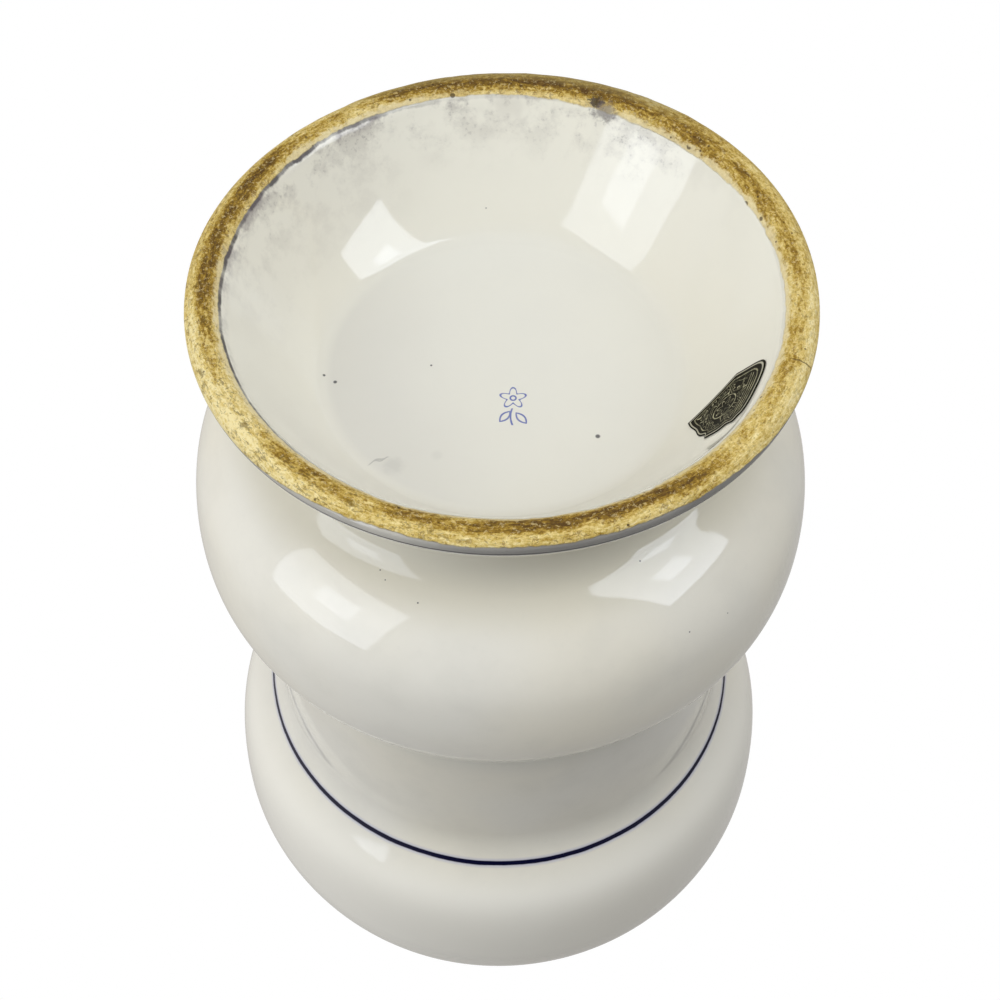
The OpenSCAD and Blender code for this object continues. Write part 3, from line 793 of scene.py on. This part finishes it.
def make_label_material():
    """Dark foil with a pale cut edge, gold borders and a plain ruled ornament. It carries no lettering."""
    t = Tree("dark_gold_foil")
    p, x, y, z, r, ux, uy = t.place()
    rel = t.vec("SUBTRACT", p, tuple(label_mid))
    a = t.vec("DOT_PRODUCT", rel, tuple(label_long))
    b = t.vec("DOT_PRODUCT", rel, tuple(label_wide))
    na, nb = t.math("DIVIDE", a, LABEL_L / 2), t.math("DIVIDE", b, LABEL_W / 2)
    power = t.blend(t.math("GREATER_THAN", na, 0.0), SHOULDER_P, POINT_P)
    mag_a = t.math("MAXIMUM", t.math("ABSOLUTE", na), 0.0001)
    mag_b = t.math("MAXIMUM", t.math("ABSOLUTE", nb), 0.0001)
    reach = t.math("POWER", t.plus(t.math("POWER", mag_a, power), t.math("POWER", mag_b, power)), t.math("DIVIDE", 1.0, power))
    cosine = t.math("POWER", t.math("DIVIDE", mag_a, reach), t.mul(power, 0.5))
    cosine = t.math("MINIMUM", cosine, 1.0)
    turn_at = t.math("ARCCOSINE", cosine)
    end = t.mul(t.minus(1.0, t.mul(cosine, cosine)), t.math("GREATER_THAN", nb, 0.0))
    scallop = t.minus(1.0, t.mul(end, t.plus(0.5, t.mul(t.math("COSINE", t.mul(turn_at, 10.0)), 0.5)), 0.11))
    e = t.math("DIVIDE", reach, scallop)
    rub = t.noise(p, 0.55, 4.0, 0.65)
    fine = t.noise(p, 2.2, 3.0, 0.6)
    worn = t.step(rub, 0.40, 0.60)
    sway = t.mul(t.minus(t.noise(p, 0.8, 2.0), 0.5), 0.02)
    border = t.step(t.away(t.plus(e, sway), 0.81), 0.022, 0.008)
    field_ = t.step(e, 0.76, 0.73)
    # a round boss with petals in the middle, fine rules along the straight edge, curled strokes over the rest
    up = t.plus(a, 0.6)
    rho = t.math("SQRT", t.plus(t.mul(up, up), t.mul(b, b)))
    phi = t.math("ARCTAN2", b, up)
    boss = t.step(t.away(rho, 3.3), 0.20, 0.07)
    petal = t.step(t.away(rho, t.plus(1.8, t.mul(t.math("COSINE", t.mul(phi, 7.0)), 0.75))), 0.22, 0.08)
    outside = t.step(rho, 3.7, 3.9)
    ruled = t.step(a, -6.2, -6.6)
    rule = t.step(t.math("SINE", t.mul(a, 2 * math.pi / 0.95)), 0.55, 0.90)
    flow = t.noise(t.vec("ADD", p, (3.1, 7.7, 1.9)), 0.27, 1.0, 0.5, 0.9)
    curl = t.step(t.away(t.math("FRACT", t.mul(flow, 9.0)), 0.5), 0.13, 0.04)
    strokes = t.mul(t.blend(ruled, curl, rule), field_, outside)
    gold = t.math("MAXIMUM", t.mul(border, 0.8), t.math("MAXIMUM", strokes, t.math("MAXIMUM", boss, petal)))
    gold = t.mul(gold, t.plus(0.30, t.mul(worn, 0.60)))
    dark = t.mix(rub, srgb(12, 10, 4), srgb(30, 27, 12))
    colour = t.mix(gold, dark, srgb(208, 202, 164))
    margin = t.mul(t.step(e, 0.915, 0.93), t.step(e, 0.965, 0.95))
    colour = t.mix(t.mul(margin, 0.70), colour, srgb(212, 208, 184))
    colour = t.mix(t.mul(t.step(fine, 0.62, 0.78), 0.22), colour, srgb(112, 108, 84))
    rough = t.plus(0.40, t.mul(rub, 0.25))
    height = t.plus(t.mul(gold, 0.5), t.mul(rub, 0.5), t.mul(fine, 0.15))
    return t.finish(colour, rough, height, 0.00008, 1.0, t.mul(gold, 0.20), 0.04)


def dress(obj, mat):
    obj.data.materials.clear()
    obj.data.materials.append(mat)


jar_mat, lid_mat, label_mat = make_jar_material(), make_lid_material(), make_label_material()
dress(jar, jar_mat)
dress(lid, lid_mat)
dress(label, label_mat)
for node_name, mat in (("jar_body", jar_mat), ("lid", lid_mat), ("foil_label", label_mat)):
    dress(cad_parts[node_name], mat)

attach(jar, "jar")
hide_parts("jar_body")
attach(lid, "lid")
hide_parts("lid")
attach(label, "jar")
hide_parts("foil_label")


# ---------------------------------------------------------------- floor, world and lights
def make_floor():
    """A pale round floor at the foot. It is seen from above only, so that a low camera looks up at the foot through it."""
    rings, segs, radius = 24, 96, 2.6
    verts, faces = [(0, 0, 0)], []
    for i in range(1, rings + 1):
        for j in range(segs):
            w = 2 * math.pi * j / segs
            k = radius * (i / rings) ** 1.6
            verts.append((k * math.cos(w), k * math.sin(w), 0))
    for j in range(segs):
        faces.append((0, 1 + j, 1 + (j + 1) % segs))
        for i in range(rings - 1):
            a, b = 1 + i * segs, 1 + (i + 1) * segs
            faces.append((a + j, b + j, b + (j + 1) % segs, a + (j + 1) % segs))
    mesh = bpy.data.meshes.new("floor")
    mesh.from_pydata(verts, [], faces)
    mesh.update()
    obj = bpy.data.objects.new("floor", mesh)
    scene.collection.objects.link(obj)
    t = Tree("pale_floor")
    tc = t.add("ShaderNodeTexCoord")
    pos = tc.outputs["Object"]
    grain = t.noise(pos, 9.0, 3.0, 0.5)
    colour = t.mix(grain, srgb(232, 231, 228), srgb(238, 237, 235))
    diffuse = t.add("ShaderNodeBsdfDiffuse")
    t.put(diffuse.inputs["Color"], colour)
    clear = t.add("ShaderNodeBsdfTransparent")
    geo = t.add("ShaderNodeNewGeometry")
    fade = t.step(t.vec("LENGTH", pos), 0.9, 2.5)
    hide = t.math("MAXIMUM", geo.outputs["Backfacing"], fade)
    mix = t.add("ShaderNodeMixShader")
    t.put(mix.inputs[0], hide)
    t.put(mix.inputs[1], diffuse.outputs[0])
    t.put(mix.inputs[2], clear.outputs[0])
    out = t.add("ShaderNodeOutputMaterial")
    t.put(out.inputs[0], mix.outputs[0])
    mesh.materials.append(t.mat)
    obj.visible_shadow = False
    obj.visible_diffuse = False
    obj.visible_glossy = False
    obj.visible_transmission = False
    return obj


make_floor()


def make_world():
    world = bpy.data.worlds.new("studio")
    scene.world = world
    world.use_nodes = True
    nt = world.node_tree
    nt.nodes.clear()

    def math_node(op, a, b=None):
        n = nt.nodes.new("ShaderNodeMath")
        n.operation = op
        for i, v in enumerate((a, b)):
            if v is None:
                continue
            if isinstance(v, bpy.types.NodeSocket):
                nt.links.new(v, n.inputs[i])
            else:
                n.inputs[i].default_value = v
        return n.outputs[0]

    tc = nt.nodes.new("ShaderNodeTexCoord")
    sep = nt.nodes.new("ShaderNodeSeparateXYZ")
    nt.links.new(tc.outputs["Generated"], sep.inputs[0])
    dx, dy, up = sep.outputs
    level = None
    for part, sign, share in ((dx, 1.0, WORLD_PLUS), (dx, -1.0, WORLD_MINUS), (dy, 1.0, WORLD_BACK), (dy, -1.0, WORLD_FRONT),
                              (up, 1.0, WORLD_HIGH), (up, -1.0, WORLD_LOW)):
        lobe = math_node("MAXIMUM", math_node("MULTIPLY", part, sign), 0.0)
        lobe = math_node("MULTIPLY", math_node("MULTIPLY", lobe, lobe), share)
        level = lobe if level is None else math_node("ADD", level, lobe)
    light = nt.nodes.new("ShaderNodeBackground")
    light.inputs["Color"].default_value = (1.03, 1.0, 0.955, 1.0)
    nt.links.new(level, light.inputs["Strength"])
    seen = nt.nodes.new("ShaderNodeBackground")
    seen.inputs["Color"].default_value = (1.0, 1.0, 1.0, 1.0)
    path = nt.nodes.new("ShaderNodeLightPath")
    mix = nt.nodes.new("ShaderNodeMixShader")
    nt.links.new(path.outputs["Is Camera Ray"], mix.inputs[0])
    nt.links.new(light.outputs[0], mix.inputs[1])
    nt.links.new(seen.outputs[0], mix.inputs[2])
    out = nt.nodes.new("ShaderNodeOutputWorld")
    nt.links.new(mix.outputs[0], out.inputs[0])


make_world()


def softbox(name, at, aim, width, height, radiance, roll=0.0, tint=(0.90, 0.97, 1.10)):
    data = bpy.data.lights.new(name, "AREA")
    data.shape = "RECTANGLE"
    data.size, data.size_y = width, height
    data.energy = radiance * math.pi * width * height
    obj = bpy.data.objects.new(name, data)
    scene.collection.objects.link(obj)
    at, aim = Vector(at), Vector(aim)
    back = (at - aim).normalized()
    side = Vector((0, 0, 1)).cross(back)
    side = Vector((1, 0, 0)) if side.length < 1e-6 else side.normalized()
    up = back.cross(side)
    c, s = math.cos(roll), math.sin(roll)
    sx, ux = side * c + up * s, up * c - side * s
    obj.matrix_world = Matrix((
        (sx.x, ux.x, back.x, at.x),
        (sx.y, ux.y, back.y, at.y),
        (sx.z, ux.z, back.z, at.z),
        (0, 0, 0, 1)))
    data.color = tint
    obj.visible_camera = False
    return obj


AIM = (0, 0, 0.04)


def toward_light(az, el, distance):
    """A place for a lamp, by its bearing and its height below the foot's plane, in degrees and metres."""
    a, e = math.radians(az), math.radians(el)
    return (distance * math.cos(e) * math.cos(a), distance * math.cos(e) * math.sin(a), AIM[2] - distance * math.sin(e))


softbox("softbox_left", toward_light(-32.5, 22.6, 0.95), AIM, 0.652, 0.77, LEFT_BOX)
softbox("softbox_left_core", toward_light(-34.5, 23.5, 0.93), AIM, 0.21, 0.24, LEFT_CORE)
softbox("softbox_right", toward_light(-161.2, 44.0, 0.90), AIM, 0.464, 0.77, RIGHT_BOX)
softbox("softbox_right_core", toward_light(-161.2, 41.0, 0.88), AIM, 0.15, 0.17, RIGHT_CORE)
softbox("softbox_right_shine", toward_light(-161.2, 44.0, 0.89), AIM, 0.459, 0.761, RIGHT_SHINE).visible_diffuse = False
softbox("softbox_foot", toward_light(-90.0, 74.0, 1.0), AIM, 0.56, 0.56, FOOT_BOX, tint=(1.01, 1.0, 0.98)).visible_glossy = False
softbox("softbox_top", (0.0, 0.0, 1.35), AIM, 0.8, 0.8, TOP_BOX).visible_glossy = False

# ---------------------------------------------------------------- camera, below the foot and turned so that the foot is uppermost
PITCH, ROLL, YAW = 0.944778, -0.007814, -0.000175
cam_data = bpy.data.cameras.new("camera")
cam_data.sensor_fit = "HORIZONTAL"
cam_data.sensor_width = 36.0
cam_data.lens = 68.4
cam_data.clip_start, cam_data.clip_end = 0.01, 50.0
cam_data.dof.use_dof = False
camera = bpy.data.objects.new("camera", cam_data)
scene.collection.objects.link(camera)
ahead0 = Vector((0, math.cos(PITCH), math.sin(PITCH)))
down0 = Vector((0, -math.sin(PITCH), math.cos(PITCH)))
right0 = Vector((-1, 0, 0))
ahead = math.cos(YAW) * ahead0 + math.sin(YAW) * right0
right1 = math.cos(YAW) * right0 - math.sin(YAW) * ahead0
right = math.cos(ROLL) * right1 + math.sin(ROLL) * down0
down = -math.sin(ROLL) * right1 + math.cos(ROLL) * down0
camera.matrix_world = Matrix((
    (right.x, -down.x, -ahead.x, 0.0),
    (right.y, -down.y, -ahead.y, -0.26717),
    (right.z, -down.z, -ahead.z, -0.29266),
    (0, 0, 0, 1)))
scene.camera = camera

bpy.context.view_layer.update()
